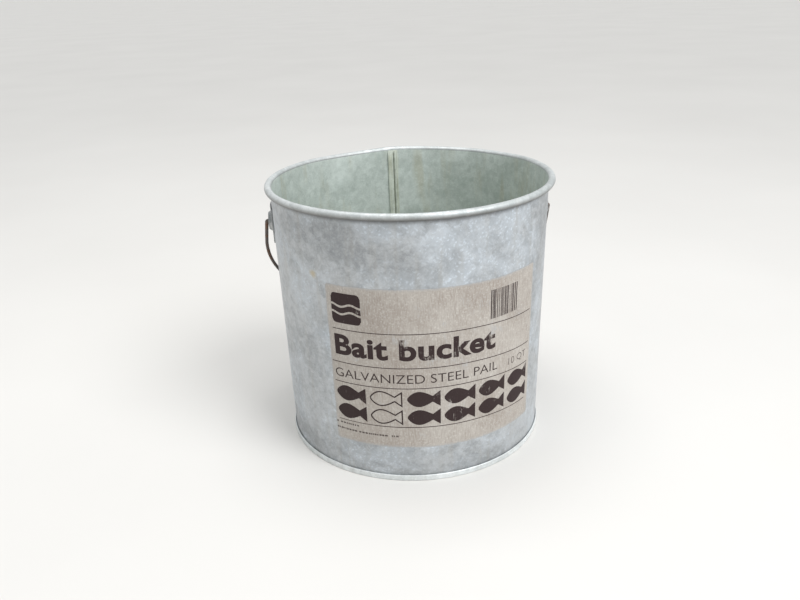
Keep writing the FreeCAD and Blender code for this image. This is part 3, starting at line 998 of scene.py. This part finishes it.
    def make_seam(self) -> None:
        """The folded seam: a band with a thicker half, laid along the inside of the wall."""
        low, top, half = self.seam_low, self.wall_top - 0.4 * MM, self.seam_w / 2
        shape = bmesh.new()
        lay_grid(shape, (-half, half), (low, top), (2, 44))
        edge = -half + self.seam_fold_w
        crease = edge + self.seam_crease
        for across in (edge, crease - self.seam_crease_half, crease,
                       crease + self.seam_crease_half):
            bmesh.ops.bisect_plane(shape, geom=everything(shape), dist=MERGE,
                                   plane_co=(across, 0, 0), plane_no=(1, 0, 0))
        bmesh.ops.recalc_face_normals(shape, faces=shape.faces[:])
        thin = raise_faces(shape, shape.faces[:], 2 * WALL.sheet + self.seam_sunk, keep=True)
        creased = [v for v in only(thin, BMVert) if abs(v.co.x - crease) < 0.1 * MM]
        bmesh.ops.translate(shape, verts=creased, vec=(0, 0, -self.seam_crease_h))
        raise_faces(shape, [f for f in only(thin, BMFace) if f.calc_center_median().x < edge],
                    WALL.sheet, keep=False)
        bmesh.ops.recalc_face_normals(shape, faces=shape.faces[:])
        corners = [e for e in shape.edges if len(e.link_faces) == 2 and e.calc_face_angle() > 0.9
                   and min(v.co.z for v in e.verts) > WALL.sheet]
        bmesh.ops.bevel(shape, geom=corners, offset=self.seam_round, offset_type="OFFSET",
                        affect="EDGES", segments=2, profile=0.5, material=-1, clamp_overlap=True)
        for vert in shape.verts:                 # from flat across, up and in to the wall's inside
            across, up, inward = vert.co
            inward *= 1 - 0.75 * eased((up - top + self.seam_fade) / self.seam_fade)
            wander = self.seam_wander * noise.noise(Vector((3.1, 0, up * 28)))
            radius = WALL.radius(up) - WALL.sheet + self.seam_sunk - inward
            turn = (across + wander - self.seam_shift) / WALL.mouth
            vert.co = Vector((radius * math.sin(turn), radius * math.cos(turn), up))
        bmesh.ops.recalc_face_normals(shape, faces=shape.faces[:])
        WALL.age(shape)
        make_piece("lock_seam", shape, "pail", (SEAM,))

    def build(self) -> None:
        """Make the three pieces."""
        self.make_wall()
        self.make_wire()
        self.make_seam()


@dataclass
class Foot:
    """The set-in bottom pan, whose edge is turned up round the wall's hem."""

    body: SheetBody
    rise: float = 7.0 * MM
    corner_r: float = 1.6 * MM
    foot_corner_r: float = 0.7 * MM
    lip_r: float = 0.7 * MM
    lip_turn: float = 80.0
    dish: float = 0.6 * MM               # the disc has sagged a little in its middle
    swell: float = 0.25 * MM             # and is a little uneven

    def build(self) -> None:
        """Draw the pan's line as the CAD does, turn it round and give it its gauge."""
        body, sheet, tilt = self.body, WALL.sheet, WALL.tilt
        skirt_in = body.seat_gap + sheet * 1.5
        band_out = body.hem_gap + sheet * 1.5 + body.seat_gap
        disc_z = self.rise - sheet / 2
        down, up = 90 + tilt, 90 - tilt
        corner_run = self.corner_r * math.tan(math.radians(down / 2))
        disc_run = (Vector((WALL.radius(self.rise), 0, 0)) + body.inward * skirt_in).x \
            - WALL.slope * (self.rise - disc_z) - corner_run
        skirt_run = (disc_z - sheet / 2) / body.upward.z
        foot_run = self.foot_corner_r * math.tan(math.radians(down / 2))
        rise_run = self.foot_corner_r * math.tan(math.radians(up / 2))
        shape = bmesh.new()
        line = SheetLine(shape, Vector((0, 0, disc_z)), 0)
        line.run(disc_run, 18).bend(-down, self.corner_r, 6).run(skirt_run - corner_run - foot_run)
        line.bend(down, self.foot_corner_r, 5)
        line.run((skirt_in + band_out) / body.upward.z - foot_run - rise_run)
        line.bend(up, self.foot_corner_r, 5)
        line.run((body.hem_top.z + body.seat_gap - line.tip.co.z) / body.upward.z, 2)
        line.bend(self.lip_turn, self.lip_r, 5)
        turn_round(shape, body.round_steps)
        tidy_faces(shape, lambda p: UPRIGHT if p.xy.length < disc_run else CENTRE)
        for vert in shape.verts:
            share = math.hypot(vert.co.x, vert.co.y) / disc_run
            if share < 1:
                swell = self.swell * noise.noise(Vector((vert.co.x * 22, vert.co.y * 22, 5.0)))
                vert.co.z += (swell - self.dish * (1 - share * share)) * eased(4 * (1 - share))
        piece = make_piece("pan", shape, "pail", (INSIDE, FOOT_WEAR_AND_HIGHLIGHT), ("bottom_pan",))
        add_thickness(piece, sheet)


# ---- ears and rivets ------------------------------------------------------------------------
class Side(Enum):
    """The pail's two sides, by the sign of X."""

    LEFT = -1
    RIGHT = 1


FLAT_WITHIN = math.radians(0.6)      # the ear's triangles this near to flat are one face
CUT_EDGE = math.radians(50)          # sharper edges of the ear are cut ones


@dataclass
class EarSet:
    """A pressed ear and its two rivets, on one side."""

    side: Side
    edge_break: float = 0.18 * MM
    rivet_d: float = 3.2 * MM
    head_d: float = 6.2 * MM
    head_h: float = 1.5 * MM
    tail_d: float = 5.6 * MM
    tail_round: float = 0.2 * MM
    tail_side: float = 0.35 * MM         # the tail is this thick between its rounded edges
    ear_t: float = 1.0 * MM
    gap: float = 0.03 * MM

    @property
    def name(self) -> str:
        """The ear's node name."""
        return f"{self.side.name.lower()}_ear"

    def make_ear(self) -> None:
        """Copy the pressed plate, merge its triangles and break its cut edges."""
        shape = bmesh.new()
        shape.from_mesh(frame["nodes"][self.name].data)
        bmesh.ops.remove_doubles(shape, verts=shape.verts[:], dist=MERGE)
        bmesh.ops.dissolve_limit(shape, angle_limit=FLAT_WITHIN, verts=shape.verts[:],
                                 edges=shape.edges[:])
        piece = make_piece(f"{self.name}_plate", shape, "pail", (PRESSED,),
                           (self.name,))
        soft = piece.modifiers.new("broken edges", "BEVEL")
        soft.width = self.edge_break
        soft.segments = 2
        soft.limit_method = "ANGLE"
        soft.angle_limit = CUT_EDGE
        soft.use_clamp_overlap = True

    def make_rivet(self, which: str) -> None:
        """Turn a rivet with a domed head outside and a flat hammered tail inside.

        Args:
            which: "front" or "back".
        """
        node = f"{self.name}_rivet_{which}"
        low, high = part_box(node)
        middle = (low + high) / 2
        azimuth = math.degrees(math.atan2(middle.x, -middle.y))
        dome_r = (self.head_d ** 2 / 4 + self.head_h ** 2) / (2 * self.head_h)
        reach = math.degrees(math.asin(min(1.0, self.head_d / 2 / dome_r)))
        head_z = self.gap * 2 + self.ear_t
        tail_z = -(WALL.sheet + 2 * self.gap)
        shape = bmesh.new()
        line = SheetLine(shape, Vector((0, 0, head_z + self.head_h)), 0).bend(-reach, dome_r, 8)
        line.face(-90.0).run(max(0.0, line.tip.co.z - head_z))
        line.face(180.0).run((self.head_d - self.rivet_d) / 2)
        line.face(-90.0).run(head_z - tail_z + 0.1 * MM)
        line.face(0.0).run((self.tail_d - self.rivet_d) / 2 - self.tail_round)
        line.bend(-90, self.tail_round, 3).run(self.tail_side).bend(-90, self.tail_round, 3)
        line.run(self.tail_d / 2 - self.tail_round, 3)
        turn_round(shape, 28)
        tidy_faces(shape, lambda p: Vector((p.x, p.y, 0)))
        hinge = frame_hinge_z()
        shape.transform(Matrix.Rotation(math.radians(azimuth), 4, "Z")
                        @ Matrix.Translation((0, -WALL.radius(hinge), hinge))
                        @ Matrix.Rotation(math.radians(90 + WALL.tilt), 4, "X"))
        make_piece(f"{node}_turned", shape, "pail", (RIVET,), (node,))

    def build(self) -> None:
        """Make the ear and its rivets."""
        self.make_ear()
        for which in ("front", "back"):
            self.make_rivet(which)


def frame_hinge_z() -> float:
    """Height of the bail's hinge axis, from the frame's joint."""
    joint = next(j for j in frame["joints"] if j["name"] == "bail_swing")
    return joint["pos_m"][2]


# ---- bail -----------------------------------------------------------------------------------
class DrawnWire:
    """A round wire grown from its end ring: straight runs are extruded, bends are spun."""

    def __init__(self, shape: BMesh, tip: Vector, radius: float, sides: int = 20) -> None:
        """Start with a closed end that faces -X.

        Args:
            shape: the mesh that it grows in.
            tip: the middle of the end.
            radius: the end's radius.
            sides: corners of the wire's section.
        """
        self.shape = shape
        lay = Matrix.Translation(tip) @ Matrix.Rotation(math.pi / 2, 4, "Y")
        bmesh.ops.create_circle(shape, cap_ends=True, segments=sides, radius=radius, matrix=lay)
        self.ring = shape.edges[:]
        self.middle = tip.copy()

    def step(self, move: Vector, swell: float = 1.0) -> "DrawnWire":
        """Extrude the ring.

        Args:
            move: how far it goes on.
            swell: how much it is scaled about its middle.

        Returns:
            The wire.
        """
        grown = bmesh.ops.extrude_edge_only(self.shape, edges=self.ring)["geom"]
        verts = only(grown, BMVert)
        bmesh.ops.scale(self.shape, verts=verts, vec=(swell,) * 3,
                        space=Matrix.Translation(-self.middle))
        bmesh.ops.translate(self.shape, verts=verts, vec=move)
        self.ring = [edge for edge in only(grown, BMEdge) if all(v in verts for v in edge.verts)]
        self.middle = self.middle + move
        return self

    def bend(self, centre: Vector, degrees: float, cuts: int) -> "DrawnWire":
        """Spin the ring about an upright axis.

        Args:
            centre: a point of the axis.
            degrees: how far round.
            cuts: in how many steps.

        Returns:
            The wire.
        """
        grown = bmesh.ops.spin(self.shape, geom=self.ring, cent=centre, axis=UPRIGHT, dvec=CENTRE,
                               angle=math.radians(degrees), steps=cuts)["geom_last"]
        self.ring = only(grown, BMEdge)
        arm = Matrix.Rotation(math.radians(degrees), 3, "Z") @ (self.middle - centre)
        self.middle = centre + arm
        return self


@dataclass
class Bail:
    """The wire bail, hooked through both bosses and fallen back against the wall."""

    wire_d: float = 3.0 * MM
    room: float = 58.3 * MM               # reach beyond the wall at the height of the hinge
    boss_h: float = 3.8 * MM
    ear_t: float = 1.0 * MM
    play: float = 0.3 * MM
    bend_r: float = 2.0 * MM
    head_d: float = 6.0 * MM
    head_t: float = 1.4 * MM
    head_round: float = 0.35 * MM
    rest_gap: float = 0.3 * MM
    kink: float = 0.45 * MM               # how far hands have bent it out of true
    ends_true: float = 12.0 * MM          # but not this near to its ends

    def build(self) -> None:
        """Grow one half flat, mirror it, bend it a little out of true and lay it back."""
        hinge = frame_hinge_z()
        wall = WALL.radius(hinge)
        bow_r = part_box("bail")[1].x - self.wire_d / 2
        reach = wall + self.room
        bow_y = reach - bow_r
        leg_x = wall + self.boss_h + self.play + self.wire_d / 2
        to_bow = math.hypot(leg_x, bow_y)
        angle = math.acos(bow_r / to_bow) - math.atan2(bow_y, leg_x)
        leg_top = Vector((bow_r * math.cos(angle), bow_y + bow_r * math.sin(angle), 0))
        spread = math.degrees(-angle)
        cut = self.bend_r * math.tan(math.radians(90 - spread) / 2)
        leg = leg_top - Vector((leg_x, 0, 0))
        bend_in = Vector((leg_x - cut, 0, 0))
        tip = Vector((wall + self.boss_h - self.ear_t - self.play - self.head_t, 0, 0))
        flat = self.head_d / 2 - self.head_round
        shape = bmesh.new()
        wire = DrawnWire(shape, tip, flat)
        ahead = Vector((1, 0, 0))
        wire.step(ahead * self.head_round, self.head_d / 2 / flat)
        wire.step(ahead * (self.head_t - 2 * self.head_round))
        wire.step(ahead * self.head_round, flat / (self.head_d / 2))
        wire.step(CENTRE, self.wire_d / 2 / flat)
        wire.step(bend_in - wire.middle)
        wire.bend(bend_in + Vector((0, self.bend_r, 0)), 90 - spread, 8)
        run = leg.normalized() * (leg.length - cut)
        for _ in range(8):
            wire.step(run / 8)
        wire.bend(Vector((0, bow_y, 0)), 90 - math.degrees(angle), 72)
        bmesh.ops.mirror(shape, geom=everything(shape), matrix=Matrix.Identity(4), merge_dist=MERGE,
                         axis="X")
        bmesh.ops.remove_doubles(shape, verts=shape.verts[:], dist=MERGE)
        bmesh.ops.recalc_face_normals(shape, faces=shape.faces[:])
        for vert in shape.verts:
            loose = eased((vert.co.y - self.ends_true) / (40 * MM))
            wave = 0.5 + noise.noise(Vector((vert.co.x * 14, vert.co.y * 14, 1.7)))
            tug = Vector((vert.co.x, vert.co.y - bow_y, 0)).normalized()
            vert.co -= tug * (self.kink * max(0.0, wave) * loose)
        out = (self.wire_d / 2 + self.rest_gap) / math.cos(math.radians(WALL.tilt))
        fall = WALL.tilt + math.degrees(math.acos((wall + out) / (reach * math.hypot(1, WALL.slope))))
        shape.transform(Matrix.Translation((0, 0, hinge))
                        @ Matrix.Rotation(-math.radians(fall), 4, "X"))
        make_piece("bail_wire", shape, "handle", (WIRE,), ("bail",))


# ---- label ----------------------------------------------------------------------------------
class Weight(Enum):
    """How far a letter's outline is swollen, as a share of its size."""

    LIGHT = -0.006
    HEAVY = 0.034


class Fill(Enum):
    """How a printed shape is filled."""

    SOLID = "solid"
    OUTLINE = "outline"


@dataclass
class Label:
    """The paper label and its print, laid out flat and then wrapped on the wall.

    Flat places are across (from the label's middle, along the wall), up (height above the floor) and
    out (from the wall's outside), all in millimetres.
    """

    width: float = 187.0
    bottom: float = 32.0
    top: float = 172.0
    shift: float = 11.3                   # its middle is this far round to the right of the front
    glue: float = 0.03
    paper: float = 0.15
    print_t: float = 0.03
    bite: float = 2.5                     # flat shapes are cut this fine before they are wrapped
    seed: int = 11
    nibble: float = 0.9                   # how far its edges and corners have worn in
    rule_half: float = 0.33
    dash_half: float = 0.75
    # what is printed: middle and size of the mark; left, right, low and high of the rest
    mark_at: tuple[float, float, float] = (-75.8, 152.6, 25.5)
    bars_at: tuple[float, float, float, float] = (40.7, 70.2, 138.0, 162.5)
    title_at: tuple[float, float, float, float] = (-88.2, 46.3, 111.6, 129.9)
    kind_at: tuple[float, float, float, float] = (-89.8, 49.0, 91.6, 99.4)
    quarts_at: tuple[float, float, float, float] = (62.0, 86.0, 89.4, 96.6)
    # left, right, height, and how far the right end sags
    rules: tuple[tuple[float, float, float, float], ...] = (
        (-89, 90, 134.5, 3.0), (-92, 90, 105.0, 3.0), (-91, 89, 87.0, 3.0), (-57, 87, 51.3, 2.0))
    fish_rows: tuple[float, ...] = (77.2, 60.5)
    fish_noses: tuple[float, ...] = (-90.1, -59.8, -29.1, 0.9, 31.0, 61.7)
    fish_size: tuple[float, float] = (26.8, 14.4)
    hollow_column: int = 1

    def wrap(self, shape: BMesh) -> None:
        """Wrap a flat mesh on the aged wall.

        Args:
            shape: the mesh, in flat places.
        """
        middle = WALL.radius((self.bottom + self.top) / 2 * MM)
        for vert in shape.verts:
            across, up, out = (part * MM for part in vert.co)
            azimuth = math.degrees((across + self.shift * MM) / middle)
            vert.co = WALL.aged(WALL.place(azimuth, up, out))

    def make_paper(self) -> None:
        """A grid with nibbled edges, given its thickness and wrapped."""
        dice = random.Random(self.seed)
        shape = bmesh.new()
        half, half_tall = self.width / 2, (self.top - self.bottom) / 2
        mid_up = (self.bottom + self.top) / 2
        lay_grid(shape, (-half, half), (self.bottom, self.top), (110, 82))
        for vert in shape.verts:
            if not vert.is_boundary:
                continue
            side = abs(vert.co.x) > half - 1e-3
            flat = abs(vert.co.y - mid_up) > half_tall - 1e-3
            worn = 0.5 + 0.5 * noise.noise(Vector((vert.co.x * 0.07, vert.co.y * 0.07, 2.0)))
            nibble = self.nibble * worn * worn * (0.4 + dice.random())
            if side:
                vert.co.x -= math.copysign(nibble, vert.co.x)
            if flat:
                vert.co.y -= math.copysign(nibble, vert.co.y - mid_up)
            if side and flat:                    # corners wear round
                vert.co.x -= math.copysign(self.nibble, vert.co.x)
                vert.co.y -= math.copysign(self.nibble, vert.co.y - mid_up)
        self.thicken(shape, self.glue, self.paper)
        inset = shape.verts.layers.float.new(EDGE_LAYER)
        for vert in shape.verts:
            vert[inset] = min(half - abs(vert.co.x), half_tall - abs(vert.co.y - mid_up))
        self.wrap(shape)
        make_piece("label_paper", shape, "pail", (PAPER,), ("label",))

    @staticmethod
    def thicken(shape: BMesh, low: float, thickness: float) -> None:
        """Turn flat faces at out 0 into closed solids.

        Args:
            shape: the flat mesh.
            low: how far out its underside goes.
            thickness: from there to its top.
        """
        for face in shape.faces:
            face.normal_update()
        turned = [face for face in shape.faces if face.normal.z < 0]
        if turned:
            bmesh.ops.reverse_faces(shape, faces=turned)
        raise_faces(shape, shape.faces[:], thickness, keep=True)
        bmesh.ops.translate(shape, verts=shape.verts[:], vec=(0, 0, low))
        bmesh.ops.recalc_face_normals(shape, faces=shape.faces[:])

    @staticmethod
    def lettering(words: str, weight: Weight, at: tuple[float, float, float, float],
                  swell: float = 0.0) -> BMesh:
        """Flat letters, fitted into a box on the label.

        Args:
            words: what they say.
            weight: how heavy they are.
            at: the box's left, right, low and high sides.
            swell: how far their outlines are spread after that.

        Returns:
            The letters as a flat mesh.
        """
        left, right, low, high = at
        curve = bpy.data.curves.new("letters", "FONT")
        curve.body = words
        curve.offset = weight.value
        curve.space_character = 1.0 + 1.2 * max(0.0, weight.value)
        curve.resolution_u = 5
        carrier = link(bpy.data.objects.new("letters", curve))
        flat = bpy.data.meshes.new_from_object(
            carrier.evaluated_get(bpy.context.evaluated_depsgraph_get()))
        shape = bmesh.new()
        shape.from_mesh(flat)
        bpy.data.objects.remove(carrier)
        bpy.data.curves.remove(curve)
        bpy.data.meshes.remove(flat)
        bmesh.ops.remove_doubles(shape, verts=shape.verts[:], dist=1e-5)
        x0, x1 = (pick(v.co.x for v in shape.verts) for pick in (min, max))
        y0, y1 = (pick(v.co.y for v in shape.verts) for pick in (min, max))
        grow = ((right - left) / (x1 - x0), (high - low) / (y1 - y0), 1)
        bmesh.ops.translate(shape, verts=shape.verts[:], vec=(-x0, -y0, 0))
        bmesh.ops.scale(shape, verts=shape.verts[:], vec=grow)
        bmesh.ops.translate(shape, verts=shape.verts[:], vec=(left, low, 0))
        if swell:
            bmesh.ops.inset_region(shape, faces=shape.faces[:], thickness=swell, use_outset=True,
                                   use_boundary=True, use_even_offset=False)
        return shape

    @staticmethod
    def block(left: float, right: float, low: float, high: float, cuts: int = 1) -> BMesh:
        """A flat rectangle.

        Args:
            left: its left side.
            right: its right side.
            low: its lower side.
            high: its upper side.
            cuts: how many faces it has across.

        Returns:
            The flat shape.
        """
        shape = bmesh.new()
        lay_grid(shape, (left, right), (low, high), (cuts, 1))
        return shape

    def rule(self, left: float, right: float, up: float, sag: float = 0.0) -> BMesh:
        """A thin printed line.

        Args:
            left: where it starts.
            right: where it ends.
            up: its height.
            sag: how much lower its right end is.

        Returns:
            The flat shape.
        """
        shape = self.block(left, right, -self.rule_half, self.rule_half, 60)
        for vert in shape.verts:
            vert.co.y += up - sag * eased((vert.co.x - 20) / 75)
        return shape

    @staticmethod
    def fish(left: float, middle: float, length: float, height: float, fill: Fill) -> BMesh:
        """A plain fish, nose to the left, drawn as a strip whose height follows its outline.

        Args:
            left: where its nose is across.
            middle: the height of its middle.
            length: nose to tail.
            height: its depth.
            fill: solid or outline.

        Returns:
            The flat shape.
        """
        shape = bmesh.new()
        bmesh.ops.create_grid(shape, x_segments=26, y_segments=1, size=0.5)
        waist, body = 0.17, 0.76
        for vert in shape.verts:
            share = vert.co.x + 0.5
            if share < body:
                belly = math.sin(math.pi * (0.03 + 0.97 * (share / body) ** 0.92))
                half = waist * (share / body) ** 3 + (1 - 0.2 * share) * 0.5 * belly ** 0.85
            else:
                half = waist + (0.5 - waist) * ((share - body) / (1 - body)) ** 0.9
            vert.co.y = math.copysign(min(half, 0.5), vert.co.y) * height
            vert.co.x = share * length
        if fill is Fill.OUTLINE:
            inner = shape.faces[:]
            bmesh.ops.inset_region(shape, faces=inner, thickness=1.15, use_even_offset=True,
                                   use_boundary=True)
            bmesh.ops.delete(shape, geom=inner, context="FACES")
        bmesh.ops.translate(shape, verts=shape.verts[:], vec=(left, middle, 0))
        return shape

    def mark(self, middle: float, up: float, size: float) -> list[BMesh]:
        """A plain round-cornered mark of three bands with wavy gaps between them.

        Args:
            middle: where its middle is across.
            up: its middle's height.
            size: its width and height.

        Returns:
            The bands.
        """
        bands, half, corner_r = [], size / 2, 0.28
        for low, high in ((-half, -0.19 * size), (-0.12 * size, 0.06 * size), (0.13 * size, half)):
            shape = self.block(-half, half, low, high, 22)
            for vert in shape.verts:
                edge = abs(vert.co.y) > half - 1e-3
                if edge:                         # the mark's own corners
                    corner = max(0.0, abs(vert.co.x) - (1 - corner_r) * half) / (corner_r * half)
                    drop = corner_r * half * (1 - math.sqrt(max(0.0, 1 - corner * corner)))
                    vert.co.y -= math.copysign(drop, vert.co.y)
                else:
                    vert.co.y += 0.045 * size * math.sin(vert.co.x / half * math.pi * 1.5)
            bmesh.ops.translate(shape, verts=shape.verts[:], vec=(middle, up, 0))
            bands.append(shape)
        return bands

    def bars(self, left: float, right: float, low: float, high: float) -> list[BMesh]:
        """Upright bars of uneven width that say nothing.

        Args:
            left: where they start.
            right: where they end.
            low: their lower ends.
            high: their upper ends.

        Returns:
            The bars.
        """
        dice = random.Random(self.seed + 1)
        made, across = [], left
        while across < right - 1.6:
            thick = dice.choice((0.35, 0.35, 0.7, 1.05))
            made.append(self.block(across, across + thick, low, high))
            across += thick + dice.choice((0.4, 0.4, 0.75, 1.1))
        return made

    def dashes(self, left: float, right: float, up: float) -> list[BMesh]:
        """A row of tiny dashes where small print has worn away.

        Args:
            left: where it starts.
            right: where it ends.
            up: its height.

        Returns:
            The dashes.
        """
        dice = random.Random(int(up))
        made, across = [], left
        while across < right:
            long = dice.uniform(0.7, 2.4)
            if dice.random() < 0.82:
                made.append(self.block(across, across + long, up - self.dash_half,
                                       up + self.dash_half))
            across += long + dice.uniform(0.35, 0.9)
        return made

    def lay_ink(self, name: str, flats: list[BMesh], finish: Finish) -> None:
        """Cut flat shapes fine, thicken and wrap them, as one piece.

        Args:
            name: the piece's name.
            flats: flat shapes; they are freed here.
            finish: their ink.
        """
        joined = bpy.data.meshes.new("ink")
        whole = bmesh.new()
        for flat in flats:
            flat.to_mesh(joined)
            whole.from_mesh(joined)
            flat.free()
        bpy.data.meshes.remove(joined)
        for number in range(-36, 37):
            bmesh.ops.bisect_plane(whole, geom=everything(whole), dist=1e-5,
                                   plane_co=(number * self.bite, 0, 0), plane_no=(1, 0, 0))
        self.thicken(whole, self.glue + self.paper - 0.005, self.print_t)
        self.wrap(whole)
        make_piece(name, whole, "pail", (finish,))

    def build(self) -> None:
        """Make the paper and lay its print."""
        self.make_paper()
        first, second, third, last = (self.rule(*line) for line in self.rules)
        flats = [*self.mark(*self.mark_at), *self.bars(*self.bars_at), first,
                 self.lettering("Bait bucket", Weight.HEAVY, self.title_at, swell=1.1), second,
                 self.lettering("GALVANIZED STEEL PAIL", Weight.LIGHT, self.kind_at), third]
        for middle in self.fish_rows:
            for column, nose in enumerate(self.fish_noses):
                fill = Fill.OUTLINE if column == self.hollow_column else Fill.SOLID
                low = 1.6 * eased((nose - 10) / 60)
                flats.append(self.fish(nose, middle - low, *self.fish_size, fill))
        self.lay_ink("label_print", [*flats, last], INK)
        faint = [self.rule(-90, -57, 51.3),
                 self.lettering("10 QT", Weight.LIGHT, self.quarts_at),
                 *self.dashes(-93, -72, 48.0), *self.dashes(-93, -35, 42.5)]
        self.lay_ink("label_small_print", faint, FAINT_INK)


# ---- studio ---------------------------------------------------------------------------------
@dataclass(frozen=True)
class SoftLight:
    """A square soft box."""

    name: str
    at: tuple[float, float, float]
    size: float
    watts: float
    colour: str = "#ffffff"

    def hang(self, target: Vector) -> None:
        """Hang the light and aim it.

        Args:
            target: what it is aimed at.
        """
        lamp = bpy.data.lights.new(self.name, "AREA")
        lamp.shape = "SQUARE"
        lamp.size = self.size
        lamp.energy = self.watts
        lamp.color = from_hex(self.colour)[:3]
        box = link(bpy.data.objects.new(self.name, lamp))
        box.location = self.at
        box.rotation_euler = (target - Vector(self.at)).to_track_quat("-Z", "Y").to_euler()


@dataclass
class Studio:
    """A pale floor, soft light and the camera."""

    distance: float = 0.65424             # camera to the pail's axis, level
    height: float = 0.38558
    azimuth: float = -5.70
    heading: float = 4.73                 # from +Y towards +X
    pitch: float = -22.43
    roll: float = -0.0361                 # radians
    lens: float = 34.94
    sun_from: tuple[float, float, float] = (0.75, -0.75, 1.15)
    sun_strength: float = 1.4
    sun_spread: float = 32.0              # degrees, which softens its shadow
    sky: str = "#eef0f2"
    sky_strength: float = 0.8
    aim_h: float = 0.12                   # the lights are aimed at this height
    floor_half: float = 200.0
    lights: tuple[SoftLight, ...] = (
        SoftLight("side box", (0.85, -1.05, 0.75), 0.7, 5.5, "#f2f7ff"),
        SoftLight("top box", (-0.1, 0.0, 1.5), 0.8, 9.0, "#ffffff"))

    def set_camera(self) -> None:
        """Place the camera and aim it."""
        camera = bpy.data.cameras.new("camera")
        camera.lens = self.lens
        camera.sensor_width = 36.0
        camera.clip_end = 400.0
        turn, head, pitch = (math.radians(a) for a in (self.azimuth, self.heading, self.pitch))
        ahead = Vector((math.sin(head) * math.cos(pitch), math.cos(head) * math.cos(pitch),
                        math.sin(pitch)))
        level = ahead.cross(UPRIGHT).normalized()
        above = level.cross(ahead)
        right = level * math.cos(self.roll) + above * math.sin(self.roll)
        up = above * math.cos(self.roll) - level * math.sin(self.roll)
        holder = link(bpy.data.objects.new("camera", camera))
        place = Matrix((right, up, -ahead)).transposed().to_4x4()
        place.translation = (self.distance * math.sin(turn), -self.distance * math.cos(turn),
                             self.height)
        holder.matrix_world = place
        bpy.context.scene.camera = holder

    def lay_floor(self) -> None:
        """A wide matt floor just under the foot."""
        shape = bmesh.new()
        bmesh.ops.create_grid(shape, x_segments=1, y_segments=1, size=self.floor_half)
        mesh = bpy.data.meshes.new("floor")
        shape.to_mesh(mesh)
        shape.free()
        mesh.materials.append(PaleFloor("pale painted board").material())
        link(bpy.data.objects.new("floor", mesh))

    def build(self) -> None:
        """Set up floor, light, sky and camera."""
        self.lay_floor()
        for light in self.lights:
            light.hang(UPRIGHT * self.aim_h)
        world = bpy.data.worlds.new("pale surround")
        world.use_nodes = True
        back = world.node_tree.nodes["Background"]
        back.inputs["Color"].default_value = from_hex(self.sky)
        back.inputs["Strength"].default_value = self.sky_strength
        sun = bpy.data.lights.new("broad key", "SUN")
        sun.energy = self.sun_strength
        sun.angle = math.radians(self.sun_spread)
        lamp = link(bpy.data.objects.new("broad key", sun))
        lamp.rotation_euler = (-Vector(self.sun_from)).to_track_quat("-Z", "Y").to_euler()
        bpy.context.scene.world = world
        bpy.context.scene.view_settings.view_transform = "Standard"
        self.set_camera()


def main() -> None:
    """Build the pail and its studio, piece by piece."""
    logging.basicConfig(level=logging.INFO, format="%(name)s: %(message)s")
    Studio().build()
    body = SheetBody()
    body.build()
    Foot(body).build()
    for side in Side:
        EarSet(side).build()
    Bail().build()
    Label().build()


if __name__ == "__main__":
    main()
